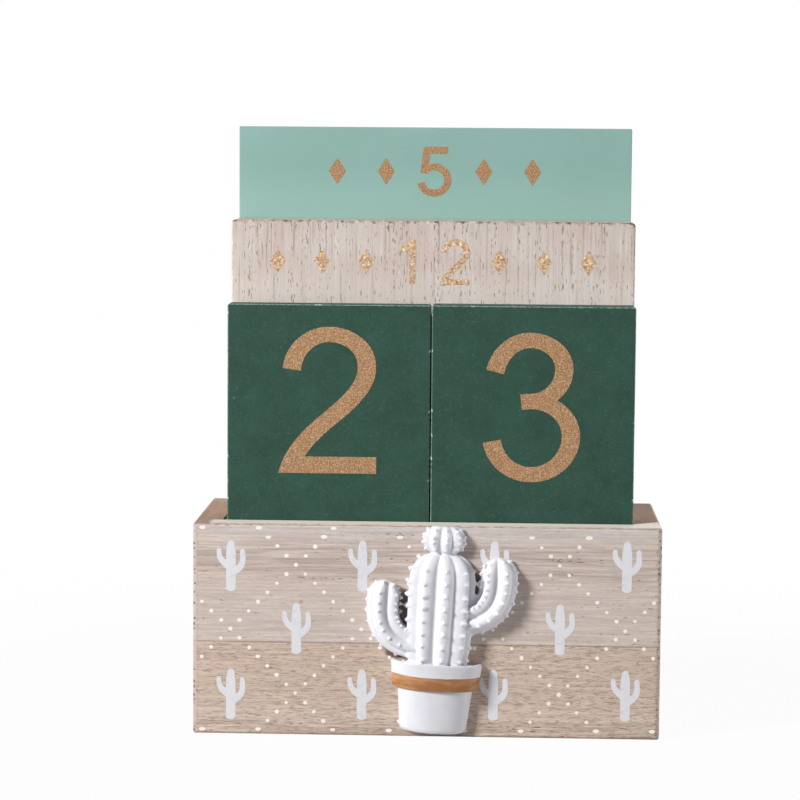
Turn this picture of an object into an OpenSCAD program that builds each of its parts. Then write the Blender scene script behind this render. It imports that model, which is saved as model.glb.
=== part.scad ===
// Perpetual desk calendar.
//
// An open wooden tray holds three ranks of flat boards on edge: number tiles in
// front, month plates behind them and weekday plates at the back. A board is
// lifted straight up, turned round or swapped, and dropped back in at the front
// of its rank. A cast cactus in a pot, flat at the back, is glued to the front.
//
// Frame: +X right, -Y front, +Z up. The origin is the middle of the tray's
// underside. Millimetres and degrees.

/* [Tray] */
// Outside width of the tray
tray_w = 150; // [130:1:200]
// Height of the tray's walls above the table
tray_h = 68.5; // [50:0.5:90]
// Thickness of the front and back boards
panel_t = 8; // [6:0.5:12]
// Thickness of the two end boards
end_t = 8.8; // [6:0.2:12]
// Thickness of the base board
base_t = 8; // [5:0.5:12]
// Radius sanded on the tray's upright outer edges
upright_r = 1.6; // [0.6:0.2:3]
// Radius sanded on the tray's other outer edges
arris_r = 1; // [0.4:0.1:2]

/* [Boards] */
// Thickness of every board that stands in the tray
board_t = 3; // [2:0.1:4.5]
// Air between one board and the next, and before the tray's walls
board_gap = 0.2; // [0.1:0.05:0.5]
// Air between a board's foot and the base board at rest
seat_gap = 0.1; // [0.05:0.05:0.3]
// How far the boards stand to the right of the tray's middle
stack_shift = 0.6; // [0:0.1:0.7]

/* [Number tiles] */
// Height of a number tile above the tray's walls
tile_show = 69.8; // [40:0.2:90]
// Air beside a pair of number tiles, both ends together
tile_play = 1.6; // [1.5:0.1:4]
// Air between the left and the right number tile
tile_split = 0.4; // [0.2:0.1:1]
// Radius of a number tile's corners
tile_corner_r = 0.8; // [0.4:0.1:2]
// Radius on a number tile's long edges
tile_edge_r = 0.5; // [0.2:0.1:0.9]

/* [Month plates] */
// Height of a month plate above the number tiles
month_show = 26.6; // [15:0.2:40]
// Air beside a month plate, both ends together
month_play = 1.6; // [1.5:0.1:4]
// Radius of a month plate's corners
month_corner_r = 1.4; // [0.5:0.1:3]
// Radius on a month plate's long edges
month_edge_r = 0.6; // [0.2:0.1:0.9]

/* [Weekday plates] */
// Height of a weekday plate above the month plates
weekday_show = 30.3; // [15:0.2:45]
// Air beside a weekday plate, both ends together
weekday_play = 2.8; // [1.5:0.1:5]
// Radius of a weekday plate's corners
weekday_corner_r = 0.5; // [0.3:0.1:2]
// Radius on a weekday plate's long edges
weekday_edge_r = 0.3; // [0.2:0.1:0.9]

/* [Ornament] */
// Distance of the pot's axis to the right of the tray's middle
ornament_x = 2.3; // [-20:0.1:20]
// Height of the pot's foot above the table
ornament_z = 2.1; // [1:0.1:8]
// How far the ornament leans to the right
ornament_lean = 3; // [-6:0.2:6]
// How far the pot stands out, as a share of its half width
relief = 0.56; // [0.5:0.02:0.8]
// How far the trunk and the bud stand out, as a share of their half width
trunk_relief = 0.66; // [0.5:0.02:0.72]
// How far the arms stand out, as a share of their half width
arm_relief = 0.92; // [0.6:0.02:1]

/* [Pot] */
// Width of the pot's foot
pot_foot_w = 21.6; // [16:0.2:26]
// Width of the pot's wall just under the rim
pot_wall_w = 24; // [20:0.2:28]
// Height of the pot's wall up to the rim
pot_wall_h = 14.2; // [8:0.2:20]
// Width of the rim at its top
rim_w = 29.2; // [26:0.2:36]
// How much narrower the rim is at its lower edge
rim_taper = 0.7; // [0.2:0.1:2]
// Height of the rim
rim_h = 8.5; // [5:0.1:12]
// Width of the lip around the soil
lip_w = 1.3; // [0.8:0.1:2.4]
// Depth of the soil below the lip
soil_drop = 1.1; // [0.4:0.1:3]
// Radius on the edge of the pot's foot
foot_r = 1.8; // [0.4:0.1:3]
// Radius on the rim's edges
rim_r = 0.4; // [0.2:0.1:0.6]

/* [Cactus] */
// Greatest width of the trunk
trunk_w = 21.8; // [16:0.2:25]
// Height of the trunk above the pot's rim
trunk_h = 34.8; // [26:0.5:42]
// Height of the trunk's round shoulders
shoulder_h = 9; // [5:0.5:14]
// Width of the neck under the bud
neck_w = 8.6; // [5:0.2:12]
// Width of the bud
bud_w = 13.9; // [9:0.2:17]
// Height of the bud above the neck
bud_h = 9.1; // [6:0.2:13]
// Number of ribs that show across the trunk and the bud
trunk_ribs = 6; // [5:1:9]
// Number of ribs that show across an arm
arm_ribs = 4; // [3:1:6]
// Depth of the grooves below the line from rib to rib, as a share of the half width
groove = 0.14; // [0.05:0.01:0.18]
// How full the trunk's and the arms' sections are: 2 is an ellipse, more is squarer
fullness = 2.6; // [2:0.1:3]
// Height of the thorns that stand on the trunk's ribs
thorn_h = 0.9; // [0.3:0.1:1.2]
// Distance from one thorn to the next along a rib of the trunk
thorn_pitch = 4.1; // [3:0.1:6]

/* [Arms] */
// Width of the left arm where it stands upright
left_arm_w = 11; // [7:0.2:12]
// Height of the left arm's root above the pot's rim
left_root_h = 5.1; // [3:0.1:10]
// Distance from the trunk's axis to the left arm's axis
left_reach = 18.4; // [16:0.2:22]
// Height of the left arm's tip above its root
left_rise = 20.2; // [16:0.2:24]
// Width of the right arm where it stands upright
right_arm_w = 12; // [7:0.2:13]
// Height of the right arm's root above the pot's rim
right_root_h = 14; // [8:0.1:18]
// Distance from the trunk's axis to the right arm's axis
right_reach = 18.6; // [16:0.2:22]
// Height of the right arm's tip above its root
right_rise = 20.7; // [16:0.1:24]

/* [Hidden] */
LEFT_TILES = ["tile_tens_2_3", "tile_tens_0_1", "tile_ones_0_1"];
RIGHT_TILES = ["tile_ones_2_3", "tile_ones_4_5", "tile_ones_6_7", "tile_ones_8_9"];
MONTH_PLATES = [for (i = [1:6]) str("month_plate_", i)];
WEEKDAY_PLATES = [for (i = [1:4]) str("weekday_plate_", i)];

$fn = 48;

// Ranks, counted from the front
tile_rows = max(len(LEFT_TILES), len(RIGHT_TILES));
month_rows = len(MONTH_PLATES);
weekday_rows = len(WEEKDAY_PLATES);
board_rows = tile_rows + month_rows + weekday_rows;
pitch = board_t + board_gap;

// The tray's inside takes its depth from the boards, and they take their width from it
inner_w = tray_w - 2 * end_t;
inner_d = board_rows * pitch + board_gap;
tray_d = inner_d + 2 * panel_t;
front_y = -tray_d / 2;
first_board_y = front_y + panel_t + board_gap;

// Heights of the boards' feet and tops above the table
foot_z = base_t + seat_gap;
tile_top = tray_h + tile_show;
month_top = tile_top + month_show;
weekday_top = month_top + weekday_show;

// Widths
tile_w = (inner_w - tile_play - tile_split) / 2;
month_w = inner_w - month_play;
weekday_w = inner_w - weekday_play;

// Heights in the ornament's own frame, above the pot's foot
rim_top = pot_wall_h + rim_h;
soil_z = rim_top - soil_drop;
neck_z = rim_top + trunk_h;
bud_top = neck_z + bud_h;

// Sampling of the ornament's curved surfaces
rib_steps = 4;
trunk_turn = 1; // the ribs are turned away from the right edge by this many steps
left_turn = -1;
right_turn = 0;
arm_rings = 17;
end_share = 0.12; // width left at the end of a dome, as a share of the full width
root_share = 0.9; // width of an arm at its root, as a share of the full width
small_thorn = 0.65; // height of a thorn on the bud or an arm, as a share of one on the trunk
cut_margin = 1; // how far a cutting block reaches past what it cuts

// Rectangle with round corners, centred in X, standing on the X axis
module rounded_rect(w, h, r) {
    translate([-w / 2 + r, 0]) square([w - 2 * r, h]);
    translate([-w / 2, r]) square([w, h - 2 * r]);
    for (x = [-w / 2 + r, w / 2 - r], y = [r, h - r]) translate([x, y]) circle(r);
}

// Slab w x d x h, centred in X, from y = 0 back to y = d and up from z = 0.
// Its edges are rounded: front_r seen from the front, side_r from the side
// and plan_r from above.
module eased_slab(w, d, h, front_r, side_r, plan_r) {
    intersection() {
        translate([0, d, 0]) rotate([90, 0, 0]) linear_extrude(d) rounded_rect(w, h, front_r);
        translate([-w / 2, d / 2, 0]) rotate([90, 0, 90]) linear_extrude(w) rounded_rect(d, h, side_r);
        linear_extrude(h) rounded_rect(w, d, plan_r);
    }
}

// The tray is sanded after it is glued, so every wall is cut from this one envelope
module tray_envelope() {
    translate([0, front_y, 0]) eased_slab(tray_w, tray_d, tray_h, arris_r, arris_r, upright_r);
}

module tray_wall(x0, x1, y0, y1) {
    intersection() {
        tray_envelope();
        translate([x0, y0, 0]) cube([x1 - x0, y1 - y0, tray_h]);
    }
}

module front_panel() {
    color("tan") tray_wall(-tray_w / 2, tray_w / 2, front_y, front_y + panel_t);
}

module back_panel() {
    color("tan") tray_wall(-tray_w / 2, tray_w / 2, -front_y - panel_t, -front_y);
}

module left_end() {
    color("burlywood") tray_wall(-tray_w / 2, -inner_w / 2, front_y + panel_t, -front_y - panel_t);
}

module right_end() {
    color("burlywood") tray_wall(inner_w / 2, tray_w / 2, front_y + panel_t, -front_y - panel_t);
}

module base_board() {
    color("tan") translate([-inner_w / 2, -inner_d / 2, 0]) cube([inner_w, inner_d, base_t]);
}

// A board of the row-th rank from the front, reaching from the seat up to top
module standing_board(row, x, w, top, corner_r, edge_r) {
    translate([x, first_board_y + row * pitch, foot_z])
        eased_slab(w, board_t, top - foot_z, corner_r, edge_r, edge_r);
}

// side is -1 for the left column and 1 for the right one
module number_tile(row, side) {
    color("darkslategray")
        standing_board(row, stack_shift + side * (tile_w + tile_split) / 2, tile_w, tile_top,
            tile_corner_r, tile_edge_r);
}

module month_plate(i) {
    color("linen")
        standing_board(tile_rows + i, stack_shift, month_w, month_top, month_corner_r, month_edge_r);
}

module weekday_plate(i) {
    color("darkseagreen")
        standing_board(tile_rows + month_rows + i, stack_shift, weekday_w, weekday_top,
            weekday_corner_r, weekday_edge_r);
}

// One half section of the relief, from its right edge over the crest to its left
// edge and back to the middle. The first two numbers are a point, [across, out], in
// units of the half width. The last two point outwards where a thorn stands and are 0
// elsewhere. The ribs are the humps of a cosine, turned by a few steps. A row of thorns
// takes every second rib, and the next row takes the ribs between.
function half_section(ribs, turn, row) =
    let (
        steps = rib_steps * (ribs - 1),
        pair = 2 * rib_steps,
        deep = groove + 1 - cos(90 / (ribs - 1)) // the line from rib to rib cuts the corner
    )
        concat(
            [
                for (i = [0:steps])
                    let (
                        a = 180 * i / steps,
                        full = pow(pow(abs(cos(a)), fullness) + pow(sin(a), fullness), -1 / fullness),
                        r = full * (1 - deep * (1 - abs(cos((ribs - 1) * a - 180 * turn / rib_steps)))),
                        thorn = (i - turn + pair) % pair == (row % 2) * rib_steps ? 1 : 0
                    )
                        [r * cos(a), r * sin(a), thorn * cos(a), thorn * sin(a)]
            ],
            [[0, 0, 0, 0]]
        );

// The section at half width h, standing out by the given share of it: [across, out]
function relief_ring(ribs, turn, row, h, share, thorn) =
    [for (s = half_section(ribs, turn, row)) [h * s[0] + thorn * s[2], h * share * s[1] + thorn * s[3]]];

// Skin over rings of equal length, each closed from its last point to its first.
// The end faces fan out from the last point.
module skin(rings) {
    n = len(rings[0]);
    last = len(rings) - 1;
    sides = [
        for (k = [0:last - 1], j = [0:n - 1])
            let (a = k * n + j, b = k * n + (j + 1) % n)
                each [[a, a + n, b], [b, a + n, b + n]]
    ];
    polyhedron(
        points = [for (ring = rings) each ring],
        faces = concat(
            [[for (j = [0:n - 1]) (j + n - 1) % n]],
            [[for (j = [n - 1:-1:0]) last * n + j]],
            sides
        )
    );
}

// Point and direction on a cubic curve through the XZ plane
function bezier(c, t) =
    pow(1 - t, 3) * c[0] + 3 * pow(1 - t, 2) * t * c[1] + 3 * (1 - t) * t * t * c[2] + pow(t, 3) * c[3];
function bezier_dir(c, t) =
    let (d = pow(1 - t, 2) * (c[1] - c[0]) + 2 * (1 - t) * t * (c[2] - c[1]) + t * t * (c[3] - c[2]))
        d / norm(d);

// Places the ornament on the front board
module on_front() {
    translate([ornament_x, front_y, ornament_z]) rotate([0, ornament_lean, 0]) children();
}

// Pot: one half of a turned one, pressed flatter, with a round foot edge, a raised rim
// and a lip round the soil
module cactus_pot() {
    foot = pot_foot_w / 2;
    top = rim_w / 2;
    low = top - rim_taper;
    soil = top - lip_w;
    color("whitesmoke") on_front() difference() {
        scale([1, relief, 1]) rotate_extrude() polygon(concat(
            [[0, 0]],
            [for (a = [0:22.5:90]) [foot - foot_r * (1 - sin(a)), foot_r * (1 - cos(a))]],
            [[pot_wall_w / 2, pot_wall_h]],
            [for (a = [0:22.5:90]) [low - rim_r * (1 - sin(a)), pot_wall_h + rim_r * (1 - cos(a))]],
            [for (a = [0:22.5:90]) [top - rim_r * (1 - cos(a)), rim_top - rim_r * (1 - sin(a))]],
            [[soil, rim_top], [soil - rim_r, soil_z], [0, soil_z]]
        ));
        translate([-rim_w, 0, -cut_margin]) cube([2 * rim_w, rim_w, rim_top + 2 * cut_margin]);
    }
}

// Trunk, neck and bud are one ribbed relief that stands on the soil.
// The outline holds [height, half width, height of the thorns] rows.
module cactus_trunk() {
    body_h = neck_z - shoulder_h - soil_z;
    rows = round(2 * body_h / thorn_pitch);
    function body_half(z) = trunk_w * lookup(z, [
        [soil_z, 0.43], [rim_top + 0.12 * trunk_h, 0.475], [rim_top + 0.3 * trunk_h, 0.49],
        [rim_top + 0.55 * trunk_h, 0.5]
    ]);
    outline = concat(
        [
            for (k = [0:rows - 1])
                let (z = soil_z + k * body_h / rows) [z, body_half(z), k == 0 ? 0 : thorn_h]
        ],
        [
            for (a = [0:15:75])
                [neck_z - shoulder_h * (1 - sin(a)), neck_w / 2 + (trunk_w - neck_w) / 2 * cos(a),
                    a < 75 ? thorn_h : 0]
        ],
        [[neck_z, neck_w / 2, 0]],
        [
            for (a = [-75:15:75])
                [neck_z + bud_h * (1 + sin(a)) / 2, max(neck_w, bud_w * pow(cos(a), 0.6)) / 2,
                    abs(a) < 60 ? small_thorn * thorn_h : 0]
        ],
        [[bud_top, 0.22 * bud_w, 0]]
    );
    color("whitesmoke") on_front() skin([
        for (k = [0:len(outline) - 1])
            let (p = outline[k])
                [
                    for (s = relief_ring(trunk_ribs, trunk_turn, k, p[1], trunk_relief, p[2]))
                        [s[0], -s[1], p[0]]
                ]
    ]);
}

// Arm: rooted in the trunk, leaves it sideways, turns up and ends in a dome.
// side is -1 for the left arm and 1 for the right one.
module cactus_arm(side, turn, w, root_h, reach, rise) {
    root = rim_top + root_h;
    curve = [[side * 0.25 * trunk_w, root + 0.01 * rise], [side * 0.94 * reach, root + 0.03 * rise],
        [side * 1.06 * reach, root + 0.4 * rise], [side * 0.94 * reach, root + rise]];
    dome = w / 2 / (3 * 0.6 * rise); // the curve's speed at the tip is three times its last leg
    color("whitesmoke") on_front() skin([
        for (k = [0:arm_rings])
            let (
                t = sin(90 * k / arm_rings),
                p = bezier(curve, t),
                d = bezier_dir(curve, t),
                into = max(0, (t - 1 + dome) / dome),
                h = w / 2 * min(1, root_share + 2 * t * (1 - root_share))
                    * max(end_share, sqrt(1 - into * into)),
                thorn = k > 0 && into < 0.7 ? small_thorn * thorn_h : 0
            )
                [
                    for (s = relief_ring(arm_ribs, turn, k, h, arm_relief, thorn))
                        [p[0] + s[0] * d[1], -s[1], p[1] - s[0] * d[0]]
                ]
    ]);
}

module cactus_left_arm() {
    cactus_arm(-1, left_turn, left_arm_w, left_root_h, left_reach, left_rise);
}

module cactus_right_arm() {
    cactus_arm(1, right_turn, right_arm_w, right_root_h, right_reach, right_rise);
}

front_panel();
back_panel();
left_end();
right_end();
base_board();
cactus_pot();
cactus_trunk();
cactus_left_arm();
cactus_right_arm();
for (i = [0:len(LEFT_TILES) - 1])
    number_tile(i, -1);
for (i = [0:len(RIGHT_TILES) - 1])
    number_tile(i, 1);
for (i = [0:month_rows - 1])
    month_plate(i);
for (i = [0:weekday_rows - 1])
    weekday_plate(i);
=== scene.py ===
# %% [markdown]
# A perpetual desk calendar in whitewash, paint and cast resin
#
# An open wooden tray holds three ranks of thin boards on edge. The tray is washed with
# thin white paint and stamped with small white cacti, the number tiles are dark green, the
# month plates bare wood under whitewash and the weekday plates mint. A resin cactus in a
# pot is glued to the front. The solid parts come ready made from the frame, and this
# lesson gives them their finishes, their printing and the cast surface of the cactus.

# %% Load the frame and measure it
import math
import random

import bmesh
import bpy
import numpy as np
from mathutils import Matrix, Vector
from mathutils.geometry import delaunay_2d_cdt


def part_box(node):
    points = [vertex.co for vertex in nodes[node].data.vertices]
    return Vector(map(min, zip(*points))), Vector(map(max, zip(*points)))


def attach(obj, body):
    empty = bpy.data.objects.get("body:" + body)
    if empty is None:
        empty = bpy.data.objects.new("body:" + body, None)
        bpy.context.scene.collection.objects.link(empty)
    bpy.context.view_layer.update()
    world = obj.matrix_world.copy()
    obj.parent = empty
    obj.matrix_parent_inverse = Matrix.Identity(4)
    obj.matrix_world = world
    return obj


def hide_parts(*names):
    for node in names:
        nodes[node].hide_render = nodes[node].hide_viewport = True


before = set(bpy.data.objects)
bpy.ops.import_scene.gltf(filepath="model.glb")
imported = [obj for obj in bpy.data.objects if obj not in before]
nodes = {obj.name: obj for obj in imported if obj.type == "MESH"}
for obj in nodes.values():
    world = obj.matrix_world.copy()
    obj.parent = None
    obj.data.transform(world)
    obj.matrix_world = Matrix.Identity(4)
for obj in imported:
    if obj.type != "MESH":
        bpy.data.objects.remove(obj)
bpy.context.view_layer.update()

MM = 0.001
FRONT_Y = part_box("front_panel")[0].y


def new_object(name, data):
    thing = bpy.data.objects.new(name, data)
    bpy.context.scene.collection.objects.link(thing)
    return thing


print("parts in the frame:", len(nodes))

# %% [markdown]
# The camera
#
# The object is seen from straight ahead and a little above, through a long lens, so its
# upright edges stay almost parallel. The camera looks 2 degrees to the left and 5 down.

# %% Place the camera
IMAGE_WIDTH = 800
FOCAL_PIXELS = 2645
SENSOR_MM = 36
CAMERA_AT = (0.02112, FRONT_Y - 0.8361, 0.18755)
YAW, PITCH, ROLL = math.radians(2.058), math.radians(5.388), math.radians(0.442)

camera_data = bpy.data.cameras.new("camera")
camera_data.sensor_width = SENSOR_MM
camera_data.lens = FOCAL_PIXELS / IMAGE_WIDTH * SENSOR_MM
camera_data.clip_start = 0.05
camera = new_object("camera", camera_data)
turn = Matrix.Rotation(YAW, 4, "Z") @ Matrix.Rotation(math.pi / 2 - PITCH, 4, "X")
camera.matrix_world = Matrix.Translation(CAMERA_AT) @ (turn @ Matrix.Rotation(ROLL, 4, "Z"))
bpy.context.scene.camera = camera
print("lens in mm:", round(camera_data.lens, 1))

# %% [markdown]
# Building shader trees in code
#
# A material is a tree of small nodes. A few helpers keep that short: they add a node and
# fill in its inputs, do arithmetic on numbers and on vectors, mix two colours, lay one
# colour over another, and turn a stretch of values into a mask from 0 to 1. Colours are
# written as they look on a screen, from 0 to 255, and turned into the linear values that
# Blender works with.

# %% Helpers for shader trees
def rgb(red, green, blue):
    linear = []
    for channel in (red, green, blue):
        c = channel / 255
        linear.append(c / 12.92 if c <= 0.04045 else ((c + 0.055) / 1.055) ** 2.4)
    return (*linear, 1.0)


def fill(node, inputs):
    """Links an input to a socket, or sets it to a plain value."""
    for name, value in inputs.items():
        if isinstance(value, bpy.types.NodeSocket):
            node.id_data.links.new(value, node.inputs[name])
        else:
            node.inputs[name].default_value = value


def add(tree, kind, inputs=None, **settings):
    node = tree.nodes.new("ShaderNode" + kind)
    for name, value in settings.items():
        setattr(node, name, value)
    fill(node, inputs or {})
    return node


def apply(kind, inputs, **settings):
    """Adds a node to the tree that the sockets among its inputs belong to."""
    tree = next(value.id_data for value in inputs.values() if isinstance(value, bpy.types.NodeSocket))
    return add(tree, kind, inputs, **settings).outputs


def calc(operation, a, b=0.0):
    return apply("Math", {0: a, 1: b}, operation=operation)[0]


def plus(a, b):
    return calc("ADD", a, b)


def minus(a, b):
    return calc("SUBTRACT", a, b)


def times(a, b):
    return calc("MULTIPLY", a, b)


def calc_vector(operation, a, b=(0, 0, 0)):
    outputs = apply("VectorMath", {0: a, 1: b}, operation=operation)
    return outputs["Value" if operation in ("LENGTH", "DOT_PRODUCT") else "Vector"]


def xyz(vector):
    return apply("SeparateXYZ", {0: vector})


def mixed(factor, a, b):
    return apply("Mix", {0: factor, 6: a, 7: b}, data_type="RGBA")[2]


def laid(colour, *layers):
    """Lays colours over one another. A layer is a mask, a strength where it isn't full,
    and the colour on top."""
    for mask, *strength, top in layers:
        share = times(mask, *strength) if strength else mask
        colour = mixed(share, colour, top)
    return colour


def fade(value, start, end, low=0.0, high=1.0):
    inputs = {"Value": value, "From Min": start, "From Max": end, "To Min": low, "To Max": high}
    return apply("MapRange", inputs, interpolation_type="SMOOTHSTEP")[0]


def noise(vector, scale, detail=2.0, roughness=0.5):
    inputs = {"Vector": vector, "Scale": scale, "Detail": detail, "Roughness": roughness}
    return apply("TexNoise", inputs)["Fac"]


print("helpers ready")

# %% [markdown]
# Effects that several finishes share
#
# Four effects turn up on more than one board, so each is a node group: grain in timber,
# the worn line along a board's edges, small specks, and the broken metallic flake of the
# gold print. Each works on the piece's own coordinates in metres, so it stays put when a
# board is lifted.

# %% A maker of node groups
def effect_group(name, masks, **defaults):
    """A group that takes a vector and the named inputs, and puts out the named masks."""
    tree = bpy.data.node_groups.new(name, "ShaderNodeTree")
    for label, default in {"Vector": (0, 0, 0), **defaults}.items():
        kind = "NodeSocketVector" if isinstance(default, tuple) else "NodeSocketFloat"
        socket = tree.interface.new_socket(label, in_out="INPUT", socket_type=kind)
        socket.default_value = default
    for label in masks:
        tree.interface.new_socket(label, in_out="OUTPUT", socket_type="NodeSocketFloat")
    return tree.nodes.new("NodeGroupInput").outputs, tree.nodes.new("NodeGroupOutput")


def use_group(group, vector, **inputs):
    node = vector.id_data.nodes.new("ShaderNodeGroup")
    node.node_tree = group
    fill(node, {"Vector": vector, **inputs})
    return node.outputs


# %% Timber grain
# The grain runs along X of the vector that comes in. Bands are slow changes of tone,
# lines and fibres are the fine straight grain, and pores are short dark dashes.
def make_grain():
    given, result = effect_group(
        "timber grain", ("Bands", "Lines", "Fibres", "Pores"),
        Run=0.03, Pitch=0.0008, Waviness=0.001, Porosity=0.4)
    sway = minus(noise(given["Vector"], 14.0, 1.0), 0.5)
    parts = xyz(given["Vector"])
    across = plus(parts[2], times(sway, given["Waviness"]))

    def streaks(run_factor, pitch_factor, *settings):
        """Noise that is drawn out along the grain."""
        run = times(given["Run"], run_factor)
        pitch = times(given["Pitch"], pitch_factor)
        x = calc("DIVIDE", parts[0], run)
        y = calc("DIVIDE", parts[1], pitch)
        z = calc("DIVIDE", across, pitch)
        return noise(apply("CombineXYZ", {0: x, 1: y, 2: z})[0], *settings)

    dashes = streaks(0.07, 0.5, 1.0, 1.0, 0.5)
    gate = minus(streaks(2.5, 1.6, 1.3, 2.0, 0.6), 0.5)
    dashes = plus(dashes, times(gate, 0.7))
    start = minus(0.86, times(given["Porosity"], 0.3))
    fill(result, {
        "Bands": fade(streaks(2.5, 6.0, 1.0, 3.0, 0.55), 0.25, 0.75),
        "Lines": fade(streaks(1.0, 1.0, 1.0, 4.0, 0.6), 0.3, 0.7),
        "Fibres": fade(streaks(0.1, 0.42, 1.0, 2.0, 0.7), 0.32, 0.68),
        "Pores": fade(dashes, start, plus(start, 0.1)),
    })
    return result.id_data


grain_effect = make_grain()
print("made", grain_effect.name)


# %% Worn edges of a board
# A point on a board's surface lies near an edge when the second smallest of its three
# distances from the board's sides is small.
def make_edge_wear():
    given, result = effect_group(
        "worn edges", ("Wear",), Low=(0, 0, 0), High=(1, 1, 1), Reach=0.0006, Raggedness=0.5, Grit=900.0)
    from_low = calc_vector("SUBTRACT", given["Vector"], given["Low"])
    from_high = calc_vector("SUBTRACT", given["High"], given["Vector"])
    x, y, z = xyz(calc_vector("MINIMUM", from_low, from_high))
    smaller = calc("MINIMUM", x, y)
    larger = calc("MAXIMUM", x, y)
    second = calc("MAXIMUM", smaller, calc("MINIMUM", larger, z))
    ragged = minus(noise(given["Vector"], given["Grit"], 3.0, 0.7), 0.5)
    ragged = times(times(ragged, given["Raggedness"]), 4.0)
    reach = times(given["Reach"], plus(1.0, ragged))
    fill(result, {"Wear": fade(second, reach, times(reach, 0.4))})
    return result.id_data


edge_effect = make_edge_wear()


def worn_edges(place, low, high, **settings):
    return use_group(edge_effect, place, Low=low, High=high, **settings)["Wear"]


print("made", edge_effect.name)


# %% Specks
# Round spots scattered at random: each cell of a Voronoi pattern holds one, and only the
# share asked for is kept.
def make_specks():
    given, result = effect_group("specks", ("Specks",), Spacing=0.004, Share=0.1, Radius=0.15)
    scale = calc("DIVIDE", 1.0, given["Spacing"])
    cells = apply("TexVoronoi", {"Vector": given["Vector"], "Scale": scale})
    draw, size, _ = xyz(cells["Color"])
    kept = calc("LESS_THAN", draw, given["Share"])
    radius = times(given["Radius"], plus(0.4, size))
    spot = fade(cells["Distance"], radius, times(radius, 0.5))
    fill(result, {"Specks": times(kept, spot)})
    return result.id_data


speck_effect = make_specks()
print("made", speck_effect.name)


# %% Metallic flake
# Bronze printing ink is a crowd of tiny leaves. Some turn dark, some catch the light, and both are
# painted into the colour: painted shade and painted glints.
def make_flake():
    given, result = effect_group("metallic flake", ("Dark", "Bright", "Tone"), Flake=0.0004)
    scale = calc("DIVIDE", 1.0, given["Flake"])
    fine = noise(given["Vector"], scale, 2.0, 0.6)
    cloud = noise(given["Vector"], times(scale, 0.22), 2.0, 0.6)
    fill(result, {
        "Dark": fade(fine, 0.48, 0.37),
        "Bright": fade(fine, 0.55, 0.66),
        "Tone": fade(cloud, 0.3, 0.7),
    })
    return result.id_data


flake_effect = make_flake()
print("made", flake_effect.name)


# %% [markdown]
# A material and its shader
#
# Every finish here is opaque, so each is one Principled BSDF with a colour, a roughness
# and a fine bump. The coordinates are the object's own, and for boards whose grain stands
# upright or runs from front to back they are turned first.

# %% Start and finish a material
GRAIN_ALONG = {"X": (0, 1, 2), "Y": (1, 0, 2), "Z": (2, 1, 0)}


def new_material(name):
    material = bpy.data.materials.new(name)
    material.use_nodes = True
    material.node_tree.nodes.clear()
    return material, add(material.node_tree, "TexCoord").outputs["Object"]


def turned(place, along):
    parts = xyz(place)
    return apply("CombineXYZ", {k: parts[axis] for k, axis in enumerate(GRAIN_ALONG[along])})[0]


def surface(colour, roughness, height, bump_mm=0.05, metallic=0.0, specular=0.5):
    bump = apply("Bump", {"Height": height, "Distance": bump_mm * MM})[0]
    shader = apply("BsdfPrincipled", {
        "Base Color": colour, "Roughness": roughness, "Metallic": metallic,
        "Specular IOR Level": specular, "Normal": bump})[0]
    apply("OutputMaterial", {"Surface": shader})


def dress(name, material):
    piece = nodes[name]
    piece.data.materials.clear()
    piece.data.materials.append(material)


def dress_boards(start, finish, coat):
    """Dresses every board whose name starts so, each in a finish made to its own box."""
    names = [name for name in nodes if name.startswith(start)]
    for name in names:
        dress(name, finish(f"{name.replace('_', ' ')} {coat}", *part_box(name)))
    return names


print("material helpers ready")

# %% [markdown]
# The whitewashed front board
#
# Thin white paint is wiped over pale wood: it stays in a milky film, thicker towards the
# top, and the grain reads through it as grey lines. The board is glued up from two
# planks, the lower one tanner, and its foot is painted paler as painted light. Saw marks
# leave dark specks along its two upright edges, and the left one is painted a little
# greyer as painted shade. The top face is painted pale as painted light, with a line of
# painted shade along its front arris. The corners between the cactus and its arms, and
# the strip under the left arm, are painted dark brown as painted shade. Those corners
# are ellipses with soft edges.

# %% Whitewash over horizontal grain
# The pairs are heights, in metres, between which an effect sets in.
JOINT_Z = 30.2 * MM
PALE_TOP, PAINTED_LIGHT_FOOT = (0.0635, 0.0655), (0.016, 0.003)
STREAKS_FROM, STREAKS_TO, STREAKS_FOOT = (0.049, 0.055), (0.064, 0.060), (0.0065, 0.0035)
WASH_PALE = rgb(216, 209, 207)
WASH_MID = rgb(216, 204, 196)
WASH_TAN = rgb(214, 192, 174)
# Painted light: the board's foot is painted paler.
FOOT_PAINTED_LIGHT = rgb(226, 208, 193)
GRAIN_GREY = rgb(166, 149, 141)
PORE_BROWN = rgb(122, 90, 70)
SAW_BROWN = rgb(84, 60, 46)
# Painted shade in the corners by the cactus.
CORNER_SHADE_BROWN = rgb(84, 60, 44)
# Painted light for the top face and the right end's top.
PAINTED_LIGHT_PALE = rgb(243, 232, 218)
CORNER_BROWN = rgb(150, 120, 98)
# Painted shade along the top's front arris.
ARRIS_SHADE_BROWN = rgb(146, 124, 110)
# Centre, half width and half height in mm of each spot of painted shade.
CORNER_SHADE_SPOTS = ((-7.3, 41.7, 2.4, 6.2), (16.0, 48.5, 2.2, 5.6), (-9.4, 27.4, 4.0, 1.9))


def bare_corners(place):
    """Mask of the painted shade in the corners by the cactus, given by centre, half width and half
    height.
    """
    spots = 0.0
    for x, z, wide, tall in CORNER_SHADE_SPOTS:
        off = calc_vector("SUBTRACT", place, (x * MM, FRONT_Y, z * MM))
        off = calc_vector("MULTIPLY", off, (1 / (wide * MM), 0, 1 / (tall * MM)))
        away = calc_vector("LENGTH", off)
        spots = calc("MAXIMUM", spots, fade(away, 1.15, 0.7))
    on_face = fade(xyz(place)[1], FRONT_Y + 0.0002, FRONT_Y + 0.0001)
    return times(on_face, spots)


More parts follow.
